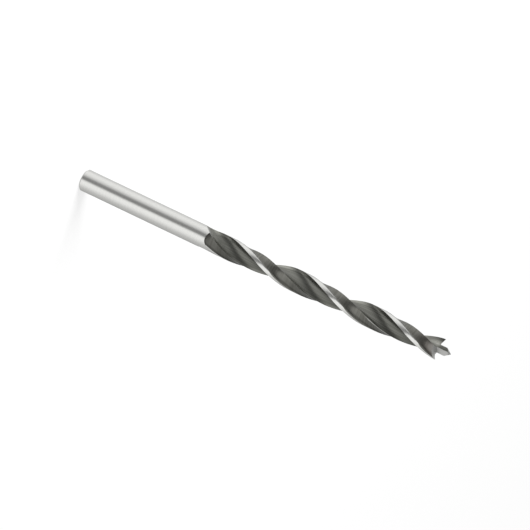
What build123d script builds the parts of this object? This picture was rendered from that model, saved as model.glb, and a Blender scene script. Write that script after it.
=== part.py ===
"""Brad point drill bit for wood, with two right-hand helical flutes.

The bit is one piece of steel. It stands on the end of its shank with the brad point up. The origin
is at the centre of the shank's end face, and +Z runs along the axis to the point. Seen from the
point, the bit turns anticlockwise as it cuts, so each land has its leading edge on that side. At
the height of the spurs the two leading edges lie on the X axis. Lengths are in millimetres and
angles in degrees.
"""

import math
import os

from build123d import *

# Driving dimensions of the whole bit
drill_diameter = 4.76
overall_length = 88.9
shank_diameter = 4.68
shank_chamfer = 0.25

# Fluted body
flutes = 2
flute_length = 60.0
helix_lead = 35.65
web_thickness = 1.04
flute_radius = 2.1
grinding_wheel_radius = 12.5
margin_angle = 24.0
clearance_depth = 0.47
clearance_setback = 1.7
clearance_round = 1.95

# Ground tip
brad_height = 2.5
brad_diameter = 1.8
brad_point_angle = 70.0
brad_facet_angle = 39.0
brad_facet_taper = 5.0
spur_rise = 0.4
valley_width = 0.5
valley_round = 0.4
lip_clearance_angle = 20.0

# How far the cutting shapes reach past the bit, and into how many steps the run-out is divided
overcut = 1.0
runout_steps = 10

# Sizes that follow
drill_radius = drill_diameter / 2
shank_radius = shank_diameter / 2
brad_radius = brad_diameter / 2
clearance_reach = drill_radius - clearance_depth
spur_height = overall_length - brad_height
valley_height = spur_height - spur_rise
tip_bottom = valley_height - drill_radius
outer_reach = drill_radius + overcut
top_reach = overall_length + overcut
helix_angle = math.atan2(math.pi * drill_diameter, helix_lead)

# The flute's round profile touches the web and passes through the leading edge
flute_offset = web_thickness / 2 + flute_radius
bearing_cosine = (drill_radius**2 + flute_offset**2 - flute_radius**2) / (
    2 * drill_radius * flute_offset
)
flute_bearing = math.degrees(math.acos(bearing_cosine))

# The back of a land is flat in section, from the margin's edge to the heel, where it meets the
# flute. Angles behind the leading edge: the middle of the flat's chord, and the heel.
flat_bearing = margin_angle + math.degrees(math.acos(clearance_reach / drill_radius))
flute_swing = math.radians(180 - flute_bearing - flat_bearing)
flute_height = flute_offset * math.cos(flute_swing) - clearance_reach
heel_shift = flute_offset * math.sin(flute_swing) - math.sqrt(flute_radius**2 - flute_height**2)
heel_angle = flat_bearing + math.degrees(math.atan2(heel_shift, clearance_reach))
clearance_angle = heel_angle - margin_angle

# Towards the shank the wheel leaves the flute on its own arc, from full depth to nothing
flute_depth = drill_radius - web_thickness / 2
runout_length = math.sqrt(grinding_wheel_radius**2 - (grinding_wheel_radius - flute_depth) ** 2)
flute_bottom = overall_length - flute_length
full_depth_height = flute_bottom + runout_length

# The clearance starts in a round near the heel, a little above the end of the flutes
round_angle = math.degrees(clearance_round / (drill_radius * math.cos(helix_angle)))
clearance_round_height = flute_bottom + clearance_setback + clearance_round
clearance_bottom = clearance_round_height - clearance_round * math.sin(helix_angle)


def turn(height):
    """Angle of the first leading edge at a height, along the right-hand helix."""
    return (height - spur_height) * 360 / helix_lead


def polar(radius, angle):
    """Point at a radius and an angle from the x axis."""
    return Vector(radius * math.cos(math.radians(angle)), radius * math.sin(math.radians(angle)))


def level_plane(height):
    """Level plane at a height, with its x axis on the first leading edge."""
    return Plane(origin=(0, 0, height), x_dir=polar(1, turn(height)), z_dir=(0, 0, 1))


def climb(face, bottom, top):
    """Solid that a level face sweeps as it climbs the helix from one height to another."""
    rise = top - bottom
    return Solid.extrude_linear_with_rotation(
        face, center=(0, 0, bottom), normal=(0, 0, rise), angle=rise * 360 / helix_lead
    )


# What the body clearance takes off a land: all that lies beyond the flat
with BuildSketch() as beyond_flat:
    with Locations(Location(polar(clearance_reach, -flat_bearing), -flat_bearing)):
        Rectangle(outer_reach, 2 * outer_reach, align=(Align.MIN, Align.CENTER))

# Section of the fluted body where the flutes have their full depth
with BuildSketch() as land_section:
    Circle(drill_radius)
    with PolarLocations(0, flutes):
        add(beyond_flat.sketch, mode=Mode.SUBTRACT)
    with PolarLocations(flute_offset, flutes, start_angle=flute_bearing):
        Circle(flute_radius, mode=Mode.SUBTRACT)

# Envelope of the tip: full round up to the spurs, then the brad and its ground point
brad_shoulder = overall_length - brad_radius / math.tan(math.radians(brad_point_angle / 2))

with BuildPart() as tip_envelope:
    with BuildSketch(Plane.XZ):
        with BuildLine():
            Polyline(
                (0, 0),
                (outer_reach, 0),
                (outer_reach, spur_height),
                (brad_radius, spur_height),
                (brad_radius, brad_shoulder),
                (0, overall_length),
                close=True,
            )
        make_face()
    revolve(axis=Axis.Z)

# Grind of one half of the tip: the valley and spur are relieved behind the lip, and the relief ends
# at the brad's own steep facet
valley_end = brad_radius + valley_width
spur_slope = spur_rise / (drill_radius - valley_end)
facet_across = polar(1, brad_facet_angle - 90)
facet_tilt = math.radians(brad_facet_taper)
facet_normal = facet_across * math.cos(facet_tilt) + Vector(0, 0, math.sin(facet_tilt))
relief_slope = math.radians(lip_clearance_angle)
relief_direction = (0, -math.cos(relief_slope), -math.sin(relief_slope))

with BuildPart() as tip_grind:
    with BuildSketch(Plane.XZ) as grind_profile:
        with BuildLine():
            Polyline(
                (-outer_reach, valley_height),
                (valley_end, valley_height),
                (outer_reach, spur_height + spur_slope * overcut),
                (outer_reach, top_reach + outer_reach),
                (-outer_reach, top_reach + outer_reach),
                close=True,
            )
        make_face()
        valley_corner = grind_profile.vertices().sort_by_distance((valley_end, 0, valley_height))[0]
        fillet(valley_corner, valley_round)
    extrude(amount=2 * outer_reach, dir=relief_direction, both=True)
    facet_plane = Plane(origin=(brad_radius, 0, valley_height), z_dir=facet_normal)
    split(bisect_by=facet_plane, keep=Keep.TOP)

# Ground tip, with enough of the body below it to hold the relief
with BuildSketch(level_plane(tip_bottom)) as tip_section:
    add(land_section.sketch)

with BuildPart() as tip:
    add(climb(tip_section.sketch.face(), tip_bottom, top_reach))
    add(tip_envelope.part, mode=Mode.INTERSECT)
    with PolarLocations(0, flutes):
        add(tip_grind.part, mode=Mode.SUBTRACT)

# Fluted body between the run-out and the tip
with BuildSketch(level_plane(full_depth_height)) as body_section:
    add(land_section.sketch)

with BuildPart() as fluted_body:
    add(climb(body_section.sketch.face(), full_depth_height, tip_bottom))

# Run-out of one flute
with BuildPart() as flute_runout:
    for step in range(runout_steps + 1):
        station = flute_bottom + runout_length * step / runout_steps
        below = full_depth_height - station
        lift = grinding_wheel_radius - math.sqrt(grinding_wheel_radius**2 - below**2)
        with BuildSketch(level_plane(station)):
            with Locations(polar(flute_offset + lift, flute_bearing)):
                Circle(flute_radius)
    loft()

# Run-out of the body clearance on one land: the flat starts in a round
round_bottom = clearance_round_height - clearance_round
round_bearing = turn(clearance_round_height) - (margin_angle + heel_angle) / 2
round_plane = Plane(
    origin=(0, 0, clearance_round_height), x_dir=(0, 0, 1), z_dir=polar(1, round_bearing)
)
round_offset = drill_radius * math.sin(math.radians(round_angle - clearance_angle / 2))

with BuildSketch(level_plane(round_bottom)) as flat_start:
    add(beyond_flat.sketch)

with BuildPart() as round_outline:
    with BuildSketch(round_plane):
        with Locations((0, round_offset)):
            Circle(clearance_round)
    extrude(amount=outer_reach)
    with BuildSketch(Plane.XY.offset(clearance_bottom)):
        Circle(2 * outer_reach)
    extrude(amount=flute_length)

with BuildPart() as clearance_runout:
    add(climb(flat_start.sketch.face(), round_bottom, full_depth_height))
    add(round_outline.part, mode=Mode.INTERSECT)

# Plain shank with its end chamfer. It is ground a little under size, and the blank grows from it to
# the full diameter along the run-out, where the flutes and the clearance start.
on_base = (Align.CENTER, Align.CENTER, Align.MIN)

with BuildPart() as shank:
    Cylinder(shank_radius, flute_bottom, align=on_base)
    chamfer(shank.edges().group_by(Axis.Z)[0], shank_chamfer)
    with Locations((0, 0, flute_bottom)):
        Cone(shank_radius, drill_radius, runout_length, align=on_base)
    with PolarLocations(0, flutes):
        add(flute_runout.part, mode=Mode.SUBTRACT)
        add(clearance_runout.part, mode=Mode.SUBTRACT)

# The whole bit
with BuildPart() as drill_bit:
    add(shank.part)
    add(fluted_body.part)
    add(tip.part)

drill_bit.part.label = "drill_bit"

os.makedirs("parts", exist_ok=True)
export_step(drill_bit.part, "parts/drill_bit.step")
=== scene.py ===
"""Looks of the brad point drill bit: bright ground steel and dark flutes, on a white floor.

Lengths are in metres. The bit stands on its shank's end, and the camera is rolled, so that the bit
lies in the picture as it does in the photograph. The steel mirrors the tones of the studio alone,
not the floor or the lamp.
"""

import math

import bpy
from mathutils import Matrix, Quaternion, Vector


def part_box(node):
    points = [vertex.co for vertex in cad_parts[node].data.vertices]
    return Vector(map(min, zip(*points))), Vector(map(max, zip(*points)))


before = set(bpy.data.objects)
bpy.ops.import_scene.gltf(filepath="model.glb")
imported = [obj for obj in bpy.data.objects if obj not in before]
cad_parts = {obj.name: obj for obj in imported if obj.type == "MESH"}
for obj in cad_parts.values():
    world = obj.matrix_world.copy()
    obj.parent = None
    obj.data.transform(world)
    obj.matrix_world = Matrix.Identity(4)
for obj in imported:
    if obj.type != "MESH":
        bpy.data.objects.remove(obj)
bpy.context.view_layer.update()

# Sizes of the bit that the looks follow
high_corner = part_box("drill_bit")[1]
DRILL_RADIUS = high_corner.x
OVERALL_LENGTH = high_corner.z
SHANK_RADIUS = 0.00234
BRAD_RADIUS = 0.0009
HELIX_LEAD = 0.03565
SPUR_HEIGHT = OVERALL_LENGTH - 0.0025
VALLEY_HEIGHT = SPUR_HEIGHT - 0.0004
FLUTE_BOTTOM = OVERALL_LENGTH - 0.060
RUNOUT_LENGTH = 0.00656
FULL_CLEARANCE = FLUTE_BOTTOM + 0.0096

# The flat back and the heel: their bearing behind the leading edge and their distance from the axis
FLAT_BEARING = math.radians(60.6)
FLAT_REACH = 0.00191
HEEL_BEARING = math.radians(78.7)
HEEL_REACH = 0.00201

# The brad's steep facets: the bearing, taper and distance of the plane that each lies in
FACET_BEARING = math.radians(-51)
FACET_TAPER = math.radians(5)
FACET_REACH = BRAD_RADIUS * math.cos(FACET_BEARING) * math.cos(FACET_TAPER)
FACET_ROOM = 0.00002
FACET_BOTTOM = VALLEY_HEIGHT - 0.0012

# The relief behind the lips faces upward by more than this share
RELIEF_FACING = 0.45

# Camera: a long lens that looks at the bit from the side and a little from the tip
VIEWER = math.radians(97.81)
CAMERA_ELEVATION = math.radians(21.007)
CAMERA_ROLL = math.radians(115.493)
CAMERA_DISTANCE = 1.43138
CAMERA_AIM = Vector((0.0001408, 0.0000193, 0.04418))
SENSOR_WIDTH = 36.0
FOCAL_LENGTH = 475.47

# Floor: half its width, how much it glows for the camera, and its grey under the light
FLOOR_HALF = 2.0
FLOOR_GLOW = 0.6
FLOOR_GREY = 0.4

# Soft box: its angles from the viewer and above the floor, its distance, width and watts
BOX_AZIMUTH = math.radians(60)
BOX_ELEVATION = math.radians(35)
BOX_DISTANCE = 0.8
BOX_WIDTH = 0.5
BOX_POWER = 6.0

# Even light, and the tones of the studio that the steel reflects: degrees round the bit, from the
# viewer towards the picture's upper side, and the grey there
EVEN_LIGHT = 0.7
STUDIO_TONES = (
    (-180, 0.45), (-140, 0.48), (-114, 0.57), (-83, 0.7), (-60, 0.93), (-45, 1.05), (-12, 1.1),
    (-4, 0.66), (2, 0.25), (26, 0.25), (40, 0.6), (56, 0.85), (75, 0.98), (100, 0.98), (137, 0.7),
    (180, 0.45),
)

# The tones have these places at the height that the shank reflects, and lie farther round the bit
# with each degree above it
TONES_HEIGHT = -21.0
TONES_LEAN = 0.7

# A dim part of the studio, in degrees round the bit and above the floor
DIM_FIRST_SIDE = (-20, 12)
DIM_LAST_SIDE = (120, 75)
DIM_HEIGHT = (-18, 5)
DIM_SHARE = 0.7
DIM_GREY = (0.28, 0.28, 0.28, 1)

# A little less light comes from above, and more from low down on one side
HIGH_HEIGHT = (-8, 10)
HIGH_CHANGE = -0.2
LOW_HEIGHT = (-15, -50)
LOW_SIDE = (25, 70)
LOW_CHANGE = 0.4

# Tones of the steel, each from its dark to its light lines
GROUND_TONES = ((0.71, 0.71, 0.69, 1), (0.81, 0.81, 0.785, 1))
TIP_TONES = ((0.5, 0.5, 0.487, 1), (0.64, 0.64, 0.622, 1))
FLUTE_TONES = ((0.132, 0.133, 0.118, 1), (0.19, 0.191, 0.174, 1))
BACK_TONES = ((0.147, 0.145, 0.129, 1), (0.197, 0.196, 0.178, 1))
# Painted shade on the backs near the tip, and painted light on them further behind the lips
PAINTED_SHADE_NEAR_TIP = (0.14, 0.128, 0.116, 1)
PAINTED_LIGHT_AT_LIP = (0.23, 0.22, 0.205, 1)
# Colour of the painted glint along the heels' edges
PAINTED_HEEL_GLINT = (0.6, 0.6, 0.57, 1)
LINE_CONTRAST = (0.3, 0.7)

# How closely the steel's lines, streaks and grain, and the patches of the painted glint on the
# heels, follow one another, per metre on each axis
RING_LINES = (120, 120, 9000)
CROSS_LINES = (250, 250, 3200)
FLUTE_STREAKS = (4500, 4500, 60)
HEEL_PATCHES = (700, 700, 130)
TIP_GRAIN = (5000, 5000, 900)

# How many finer levels the lines and streaks have, and the patches and the grain
LINE_DETAIL = 3.0
PATCH_DETAIL = 2.0

# Depth of the lines and streaks
LINE_DEPTH = 0.000003

# Metal and gloss of the dark and of the ground steel
DARK_METAL = 0.94
GROUND_METAL = 1.0
DARK_ROUGHNESS = 0.28
GROUND_ROUGHNESS = 0.24
TIP_ROUGHNESS = 0.42

# Soft borders of the looks, each from where it starts to where it is complete. First the depth
# under the round blank:
ON_MARGIN = (0.000035, 0.000025)
ON_BLANK = (0.00007, 0.00005)

# Degrees behind the leading edge
MARGIN_EDGE = (24, 22.5)
STEP_DOWN = (17, 31)
STEP_UP = (75, 32)
WALL_BACK = (14, 8)
WALL_FRONT = (-25, -5)
SHADE_START = (24, 31)
SHADE_END = (44, 33)
DEEP_BACK = (30, 45)
LIP_LIGHT_START = (26, 44)

# Distance from the axis
OFF_THE_WEB = (0.0016, 0.0019)
LIP_OUTWARD = (0.0009, 0.0021)
ON_FLAT = (FLAT_REACH - 0.00004, FLAT_REACH - 0.00002)
ON_HEEL = (HEEL_REACH - 0.00011, HEEL_REACH - 0.00006)
UNDER_HEEL = (HEEL_REACH - 0.0008, HEEL_REACH - 0.0002)

# Distance from the axis towards the side that lies low in the picture
LOWER_SIDE = (0.0004, 0.0014)
LOWER_HALF = (-0.0002, 0.001)

# Height above the floor, first near the end of the flutes and then towards the tip
FLUTE_RUNOUT = (FLUTE_BOTTOM + 0.0051, FLUTE_BOTTOM + 0.0021)
BACK_RUNOUT = (FLUTE_BOTTOM + 0.0121, FLUTE_BOTTOM + 0.0061)
RUNOUT_TOP = (FULL_CLEARANCE, FULL_CLEARANCE - 0.001)
ABOVE_RUNOUT = (FULL_CLEARANCE - 0.001, FULL_CLEARANCE + 0.005)
STEP_BOTTOM = (FULL_CLEARANCE - 0.0004, FULL_CLEARANCE)
HEEL_LIGHT_TOP = (SPUR_HEIGHT - 0.0194, SPUR_HEIGHT - 0.0234)
# Heights between which the painted glint on the heels lies
GLINT_BOTTOM = (SPUR_HEIGHT - 0.0174, SPUR_HEIGHT - 0.0154)
GLINT_TOP = (SPUR_HEIGHT - 0.0094, SPUR_HEIGHT - 0.0114)
WALL_TOP = (SPUR_HEIGHT - 0.0034, SPUR_HEIGHT - 0.0054)
LAST_TURN = (SPUR_HEIGHT - 0.0049, SPUR_HEIGHT - 0.0019)
TIP_PART = (SPUR_HEIGHT - 0.0065, SPUR_HEIGHT - 0.001)
LIP_LIGHT = (SPUR_HEIGHT - 0.0032, SPUR_HEIGHT - 0.001)
SPUR_PART = (SPUR_HEIGHT - 0.0012, SPUR_HEIGHT)

# Which patches along the heels carry the painted glint
GLINT_PATCHES = (0.3, 0.6)

# Painted shade: the margins' bright band is this many degrees narrower on the side that lies low in
# the picture, and by this factor more so in the last turn
NARROWING = 7.0
LAST_NARROWING = 1.4

# Depth of the rounded step behind the margins
STEP_DEPTH = -0.00014

# Changes of the dark tones, as a share of them
NEAR_WEB_CHANGE = 0.85
SPUR_CHANGE = -0.3
UNDER_HEEL_LIGHT_CHANGE = 0.45
WALL_LIGHT_CHANGE = 0.7
FLUTE_RUNOUT_CHANGE = 0.3
BACK_RUNOUT_CHANGE = -0.25
SHADE_CHANGE = -0.45
DEEP_SHADE_CHANGE = -0.1


def direction(azimuth, elevation):
    """Unit vector from the bit, at an angle from the x axis and an angle above the floor."""
    level = math.cos(elevation)
    return Vector((level * math.cos(azimuth), level * math.sin(azimuth), math.sin(elevation)))


def link(thing):
    bpy.context.scene.collection.objects.link(thing)
    return thing


def add_camera():
    """The camera at the photograph's viewing angle."""
    data = bpy.data.cameras.new("camera")
    data.sensor_width = SENSOR_WIDTH
    data.lens = FOCAL_LENGTH
    camera = link(bpy.data.objects.new("camera", data))
    away = direction(VIEWER, CAMERA_ELEVATION)
    roll = Quaternion(away, CAMERA_ROLL)
    camera.rotation_mode = "QUATERNION"
    camera.rotation_quaternion = roll @ away.to_track_quat("Z", "Y")
    camera.location = CAMERA_AIM + away * CAMERA_DISTANCE
    bpy.context.scene.camera = camera


class Graph:
    """Short ways to add and join the nodes of a material or a world."""

    def __init__(self, tree):
        self.tree = tree

    def put(self, socket, value):
        if isinstance(value, bpy.types.NodeSocket):
            self.tree.links.new(value, socket)
        elif value is not None:
            socket.default_value = value

    def add(self, kind, inputs=None, **settings):
        node = self.tree.nodes.new(kind)
        for name, value in settings.items():
            setattr(node, name, value)
        for name, value in (inputs or {}).items():
            self.put(node.inputs[name], value)
        return node

    def math(self, operation, a, b=None, c=None):
        node = self.add("ShaderNodeMath", operation=operation)
        for socket, value in zip(node.inputs, (a, b, c)):
            self.put(socket, value)
        return node.outputs[0]

    def times(self, first, *others):
        """Product of all the numbers."""
        for other in others:
            first = self.math("MULTIPLY", first, other)
        return first

    def ramp(self, value, low, high):
        """0 at low and before it, 1 at high and beyond it, smooth between them."""
        node = self.add("ShaderNodeMapRange", {"Value": value, "From Min": low, "From Max": high})
        node.interpolation_type = "SMOOTHSTEP"
        return node.outputs[0]

    def mix(self, factor, a, b):
        """Colour between a and b."""
        node = self.add("ShaderNodeMix", data_type="RGBA")
        for socket, value in zip((node.inputs[0], node.inputs[6], node.inputs[7]), (factor, a, b)):
            self.put(socket, value)
        return node.outputs[2]

    def blend(self, factor, a, b):
        """Number between a and b."""
        node = self.add("ShaderNodeMix", data_type="FLOAT")
        for socket, value in zip(node.inputs[:4], (factor, None, a, b)):
            self.put(socket, value)
        return node.outputs[0]

    def scale(self, colour, factor):
        node = self.add("ShaderNodeVectorMath", operation="SCALE")
        self.put(node.inputs[0], colour)
        self.put(node.inputs["Scale"], factor)
        return node.outputs[0]

    def retone(self, colour, share, change):
        """The colour, changed by a part of itself where the share is 1."""
        return self.scale(colour, self.math("MULTIPLY_ADD", share, change, 1.0))

    def split(self, vector):
        node = self.add("ShaderNodeSeparateXYZ", {"Vector": vector})
        return node.outputs[0], node.outputs[1], node.outputs[2]

    def turn(self, vector, angle):
        """The vector, turned round the z axis."""
        node = self.add(
            "ShaderNodeVectorRotate", {"Vector": vector, "Angle": angle}, rotation_type="Z_AXIS"
        )
        return node.outputs[0]

    def towards(self, x, y, bearing):
        """How far a place lies from the axis in the direction of a bearing."""
        part_x = self.math("MULTIPLY", x, math.cos(bearing))
        part_y = self.math("MULTIPLY", y, math.sin(bearing))
        return self.math("ADD", part_x, part_y)

    def noise(self, place, stretch, detail):
        spread = self.add("ShaderNodeVectorMath", operation="MULTIPLY")
        self.put(spread.inputs[0], place)
        self.put(spread.inputs[1], stretch)
        inputs = {"Vector": spread.outputs[0], "Scale": 1.0, "Detail": detail}
        return self.add("ShaderNodeTexNoise", inputs).outputs[0]


def new_material(name):
    material = bpy.data.materials.new(name)
    material.use_nodes = True
    material.node_tree.nodes.clear()
    graph = Graph(material.node_tree)
    return material, graph, graph.add("ShaderNodeOutputMaterial")


def add_floor():
    """A wide plain floor that is seen as white, with the bit's shadow kept."""
    mesh = bpy.data.meshes.new("floor")
    corners = [
        (-FLOOR_HALF, -FLOOR_HALF, 0),
        (FLOOR_HALF, -FLOOR_HALF, 0),
        (FLOOR_HALF, FLOOR_HALF, 0),
        (-FLOOR_HALF, FLOOR_HALF, 0),
    ]
    mesh.from_pydata(corners, [], [(0, 1, 2, 3)])
    floor = link(bpy.data.objects.new("floor", mesh))
    material, graph, output = new_material("white_floor")
    rays = graph.add("ShaderNodeLightPath").outputs
    seen = graph.math("MAXIMUM", rays["Is Camera Ray"], rays["Is Glossy Ray"])
    seen = graph.math("MAXIMUM", seen, rays["Is Transmission Ray"])
    strength = graph.math("MULTIPLY", seen, FLOOR_GLOW)
    glow = graph.add("ShaderNodeEmission", {"Strength": strength})
    grey = (FLOOR_GREY, FLOOR_GREY, FLOOR_GREY, 1)
    paint = graph.add("ShaderNodeBsdfDiffuse", {"Color": grey})
    both = graph.add("ShaderNodeAddShader")
    graph.put(both.inputs[0], glow.outputs[0])
    graph.put(both.inputs[1], paint.outputs[0])
    graph.put(output.inputs["Surface"], both.outputs[0])
    mesh.materials.append(material)
    floor.visible_glossy = False


def add_soft_box():
    """A soft lamp on the side that lies high in the picture."""
    data = bpy.data.lights.new("soft_box", "AREA")
    data.shape = "SQUARE"
    data.size = BOX_WIDTH
    data.energy = BOX_POWER
    lamp = link(bpy.data.objects.new("soft_box", data))
    lamp.visible_glossy = False
    away = direction(VIEWER - BOX_AZIMUTH, BOX_ELEVATION)
    lamp.location = Vector((0, 0, OVERALL_LENGTH / 2)) + away * BOX_DISTANCE
    lamp.rotation_mode = "QUATERNION"
    lamp.rotation_quaternion = away.to_track_quat("Z", "Y")


def add_world():
    """Even light, white to the camera, and for reflections the tones of the studio."""
    world = bpy.data.worlds.new("studio")
    bpy.context.scene.world = world
    world.use_nodes = True
    world.node_tree.nodes.clear()
    graph = Graph(world.node_tree)
    way = graph.add("ShaderNodeTexCoord").outputs["Generated"]
    x, y, z = graph.split(graph.turn(way, -VIEWER))
    round_bit = graph.math("MULTIPLY", graph.math("ARCTAN2", y, x), -180 / math.pi)
    above = graph.math("MULTIPLY", graph.math("ARCSINE", z), 180 / math.pi)

    # The tones round the bit
    lean = graph.math("MULTIPLY", graph.math("SUBTRACT", above, TONES_HEIGHT), TONES_LEAN)
    leaned = graph.math("SUBTRACT", round_bit, lean)
    part_of_turn = graph.math("MULTIPLY_ADD", leaned, 1 / 360, 0.5)
    node = graph.add("ShaderNodeValToRGB", {"Fac": part_of_turn})
    stops = node.color_ramp.elements
    stops.remove(stops[1])
    for angle, grey in STUDIO_TONES:
        stop = stops[0] if angle == -180 else stops.new(angle / 360 + 0.5)
        stop.color = (grey, grey, grey, 1)

    # The dim part, and the changes with height
    dim = graph.times(
        graph.ramp(round_bit, *DIM_FIRST_SIDE),
        graph.ramp(round_bit, *DIM_LAST_SIDE),
        graph.ramp(above, *DIM_HEIGHT),
        DIM_SHARE,
    )
    tone = graph.mix(dim, node.outputs[0], DIM_GREY)
    high = graph.math("MULTIPLY_ADD", graph.ramp(above, *HIGH_HEIGHT), HIGH_CHANGE, 1.0)
    low = graph.times(graph.ramp(above, *LOW_HEIGHT), graph.ramp(round_bit, *LOW_SIDE), LOW_CHANGE)
    tone = graph.scale(tone, graph.math("ADD", high, low))

    rays = graph.add("ShaderNodeLightPath").outputs
    even = (EVEN_LIGHT, EVEN_LIGHT, EVEN_LIGHT, 1)
    colour = graph.mix(rays["Is Glossy Ray"], even, tone)
    seen = graph.math("MAXIMUM", rays["Is Camera Ray"], rays["Is Transmission Ray"])
    colour = graph.mix(seen, colour, (1, 1, 1, 1))
    background = graph.add("ShaderNodeBackground", {"Color": colour, "Strength": 1.0})
    output = graph.add("ShaderNodeOutputWorld")
    graph.put(output.inputs["Surface"], background.outputs[0])


class Spot:
    """Where a point of the bit lies, as numbers in the graph of its material."""

    def __init__(self, graph):
        self.graph = graph
        self.place = graph.add("ShaderNodeTexCoord").outputs["Object"]
        self.x, self.y, self.z = graph.split(self.place)
        squares = (graph.math("MULTIPLY", self.x, self.x), graph.math("MULTIPLY", self.y, self.y))
        self.radius = graph.math("SQRT", graph.math("ADD", *squares))

        # In a frame that turns with the helix, the body's section stands still
        risen = graph.math("SUBTRACT", self.z, SPUR_HEIGHT)
        self.turned = graph.turn(self.place, graph.times(risen, -2 * math.pi / HELIX_LEAD))
        self.across_x, self.across_y, _ = graph.split(self.turned)

        # Degrees behind the leading edge, on either land
        slope = graph.math("DIVIDE", graph.math("MULTIPLY", self.across_y, -1.0), self.across_x)
        self.behind = graph.math("MULTIPLY", graph.math("ARCTANGENT", slope), 180 / math.pi)

        # How far it lies under the round blank, which grows from the shank to the full diameter
        grown = graph.add("ShaderNodeMapRange", {
            "Value": self.z, "From Min": FLUTE_BOTTOM, "From Max": FLUTE_BOTTOM + RUNOUT_LENGTH,
            "To Min": SHANK_RADIUS, "To Max": DRILL_RADIUS,
        })
        self.sunk = graph.math("SUBTRACT", grown.outputs[0], self.radius)

        # How far it lies towards the side that is low in the picture
        self.side = graph.towards(self.x, self.y, VIEWER + math.pi / 2)

    def reach(self, bearing):
        """Distance from the axis along a bearing behind either leading edge."""
        along = self.graph.towards(self.across_x, self.across_y, -bearing)
        return self.graph.math("ABSOLUTE", along)


def ground_round(graph, spot):
    """1 where the wheel ran round the bit: on the shank and on the margins, whose trailing edge
    gives way to painted shade on the side low in the picture.
    """
    # Painted shade: the margins' bright band ends sooner on the side low in the picture
    shade_narrowing = graph.times(
        graph.ramp(spot.side, *LOWER_SIDE),
        NARROWING,
        graph.ramp(spot.z, *ABOVE_RUNOUT),
        graph.blend(graph.ramp(spot.z, *LAST_TURN), 1.0, LAST_NARROWING),
    )
    edge = graph.ramp(graph.math("ADD", spot.behind, shade_narrowing), *MARGIN_EDGE)
    margin = graph.times(graph.ramp(spot.sunk, *ON_MARGIN), edge)
    blank = graph.times(graph.ramp(spot.sunk, *ON_BLANK), graph.ramp(spot.z, *RUNOUT_TOP))
    shank = graph.math("LESS_THAN", spot.z, FLUTE_BOTTOM)
    return graph.math("MAXIMUM", graph.math("MAXIMUM", margin, blank), shank)


def ground_tip(graph, spot):
    """1 where the tip is ground: on the lips' relief and on the brad."""
    normal = graph.add("ShaderNodeTexCoord").outputs["Normal"]
    relief = graph.math("GREATER_THAN", graph.split(normal)[2], RELIEF_FACING)
    across = graph.math("ABSOLUTE", graph.towards(spot.x, spot.y, FACET_BEARING))
    level_part = graph.math("MULTIPLY", across, math.cos(FACET_TAPER))
    risen = graph.math("SUBTRACT", spot.z, VALLEY_HEIGHT)
    from_axis = graph.math("ADD", level_part, graph.times(risen, math.sin(FACET_TAPER)))
    facet = graph.math("COMPARE", from_axis, FACET_REACH, FACET_ROOM)
    facet = graph.times(facet, graph.math("GREATER_THAN", spot.z, FACET_BOTTOM))
    return graph.math("MAXIMUM", relief, facet)


def flute_colour(graph, spot, streaks, tip_part):
    """Dark satin steel of the flutes, lighter near the web at the tip, with painted light under the
    heels away from the tip and on the flank just below the leading edges.
    """
    colour = graph.mix(graph.ramp(streaks, *LINE_CONTRAST), *FLUTE_TONES)
    change = graph.blend(graph.ramp(spot.radius, *LIP_OUTWARD), NEAR_WEB_CHANGE, SPUR_CHANGE)
    change = graph.blend(graph.ramp(spot.z, *SPUR_PART), change, SPUR_CHANGE)
    colour = graph.retone(colour, tip_part, change)
    # Painted light: the flutes lighter under the heels, away from the tip
    under_heel_light = graph.ramp(spot.reach(HEEL_BEARING), *UNDER_HEEL)
    under_heel_light = graph.times(under_heel_light, graph.ramp(spot.z, *HEEL_LIGHT_TOP))
    colour = graph.retone(colour, under_heel_light, UNDER_HEEL_LIGHT_CHANGE)
    # Painted light on the flutes just below the leading edges, where they mirror the bit itself
    wall_light = graph.times(
        graph.ramp(spot.behind, *WALL_BACK),
        graph.ramp(spot.behind, *WALL_FRONT),
        graph.ramp(spot.z, *WALL_TOP),
        graph.ramp(spot.radius, *OFF_THE_WEB),
    )
    colour = graph.retone(colour, wall_light, WALL_LIGHT_CHANGE)
    return graph.retone(colour, graph.ramp(spot.z, *FLUTE_RUNOUT), FLUTE_RUNOUT_CHANGE)


def back_colour(graph, spot, cross_lines, tip_part):
    """Dark satin steel of the flat backs, with painted shade behind the margins on the side low in
    the picture and near the tip, and painted light behind the lips.
    """
    colour = graph.mix(graph.ramp(cross_lines, *LINE_CONTRAST), *BACK_TONES)
    colour = graph.retone(colour, graph.ramp(spot.z, *BACK_RUNOUT), BACK_RUNOUT_CHANGE)
    # Painted shade on the side low in the picture: darker just behind the margins, and a little
    # darker further back
    shade = graph.times(
        graph.ramp(spot.behind, *SHADE_START),
        graph.ramp(spot.behind, *SHADE_END),
        graph.ramp(spot.side, *LOWER_SIDE),
        SHADE_CHANGE,
    )
    deep_shade = graph.times(graph.ramp(spot.behind, *DEEP_BACK), graph.ramp(spot.side, *LOWER_HALF))
    deep_shade = graph.math("MULTIPLY_ADD", deep_shade, DEEP_SHADE_CHANGE, 1.0)
    colour = graph.scale(colour, graph.math("ADD", shade, deep_shade))
    # Painted shade near the tip, with painted light further behind the margins near the lips
    colour = graph.mix(tip_part, colour, PAINTED_SHADE_NEAR_TIP)
    lit = graph.times(graph.ramp(spot.z, *LIP_LIGHT), graph.ramp(spot.behind, *LIP_LIGHT_START))
    return graph.mix(lit, colour, PAINTED_LIGHT_AT_LIP)


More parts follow.
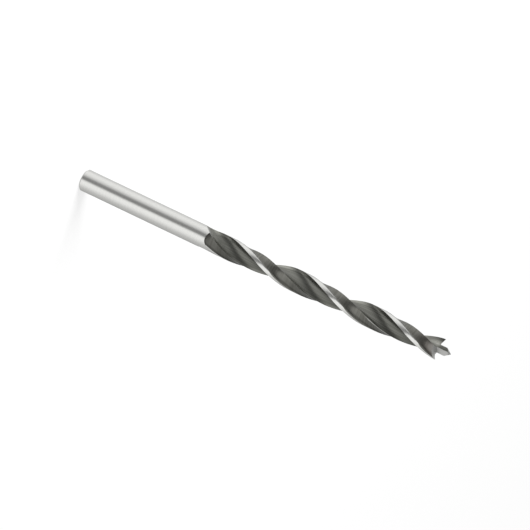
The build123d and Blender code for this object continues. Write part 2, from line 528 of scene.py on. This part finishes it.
def painted_heel_glint(graph, spot):
    """1 where a painted glint lies along a heel's edge."""
    return graph.times(
        graph.ramp(spot.reach(HEEL_BEARING), *ON_HEEL),
        graph.ramp(spot.z, *GLINT_BOTTOM),
        graph.ramp(spot.z, *GLINT_TOP),
        graph.ramp(graph.noise(spot.turned, HEEL_PATCHES, PATCH_DETAIL), *GLINT_PATCHES),
    )


def margin_step(graph, spot, tip_ground):
    """Height of the rounded step that leads from a margin down to the flat back."""
    return graph.times(
        graph.ramp(spot.behind, *STEP_DOWN),
        graph.ramp(spot.behind, *STEP_UP),
        graph.ramp(spot.radius, *OFF_THE_WEB),
        graph.math("SUBTRACT", 1.0, tip_ground),
        graph.ramp(spot.z, *STEP_BOTTOM),
        STEP_DEPTH,
    )


def steel():
    """Bright steel where the wheel ran round the bit or its tip, dark satin steel elsewhere."""
    material, graph, output = new_material("tool_steel")
    spot = Spot(graph)
    round_ground = ground_round(graph, spot)
    tip_ground = ground_tip(graph, spot)
    ground = graph.math("MAXIMUM", round_ground, tip_ground)
    back = graph.ramp(spot.reach(FLAT_BEARING), *ON_FLAT)
    tip_part = graph.ramp(spot.z, *TIP_PART)

    # Fine lines of the wheel round the ground surfaces and across the backs, and long streaks
    # down the flutes
    ring_lines = graph.noise(spot.place, RING_LINES, LINE_DETAIL)
    cross_lines = graph.noise(spot.place, CROSS_LINES, LINE_DETAIL)
    streaks = graph.noise(spot.turned, FLUTE_STREAKS, LINE_DETAIL)

    dark = graph.mix(
        back,
        flute_colour(graph, spot, streaks, tip_part),
        back_colour(graph, spot, cross_lines, tip_part),
    )
    # Painted glint along the heels, over the dark steel
    dark = graph.mix(painted_heel_glint(graph, spot), dark, PAINTED_HEEL_GLINT)
    bright = graph.mix(ring_lines, *GROUND_TONES)
    tip_bright = graph.mix(graph.noise(spot.place, TIP_GRAIN, PATCH_DETAIL), *TIP_TONES)

    lines = graph.blend(ground, graph.blend(back, streaks, cross_lines), ring_lines)
    lines = graph.math("MULTIPLY", lines, LINE_DEPTH)
    height = graph.math("ADD", lines, margin_step(graph, spot, tip_ground))
    bump = graph.add("ShaderNodeBump", {"Strength": 1.0, "Distance": 1.0, "Height": height})
    roughness = graph.blend(ground, DARK_ROUGHNESS, GROUND_ROUGHNESS)
    shader = graph.add("ShaderNodeBsdfPrincipled", {
        "Base Color": graph.mix(tip_ground, graph.mix(round_ground, dark, bright), tip_bright),
        "Metallic": graph.blend(ground, DARK_METAL, GROUND_METAL),
        "Roughness": graph.blend(tip_ground, roughness, TIP_ROUGHNESS),
        "Normal": bump.outputs[0],
    })
    graph.put(output.inputs["Surface"], shader.outputs[0])
    return material


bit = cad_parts["drill_bit"]
bit.data.materials.clear()
bit.data.materials.append(steel())

add_camera()
add_floor()
add_soft_box()
add_world()

bpy.context.scene.view_settings.view_transform = "Standard"
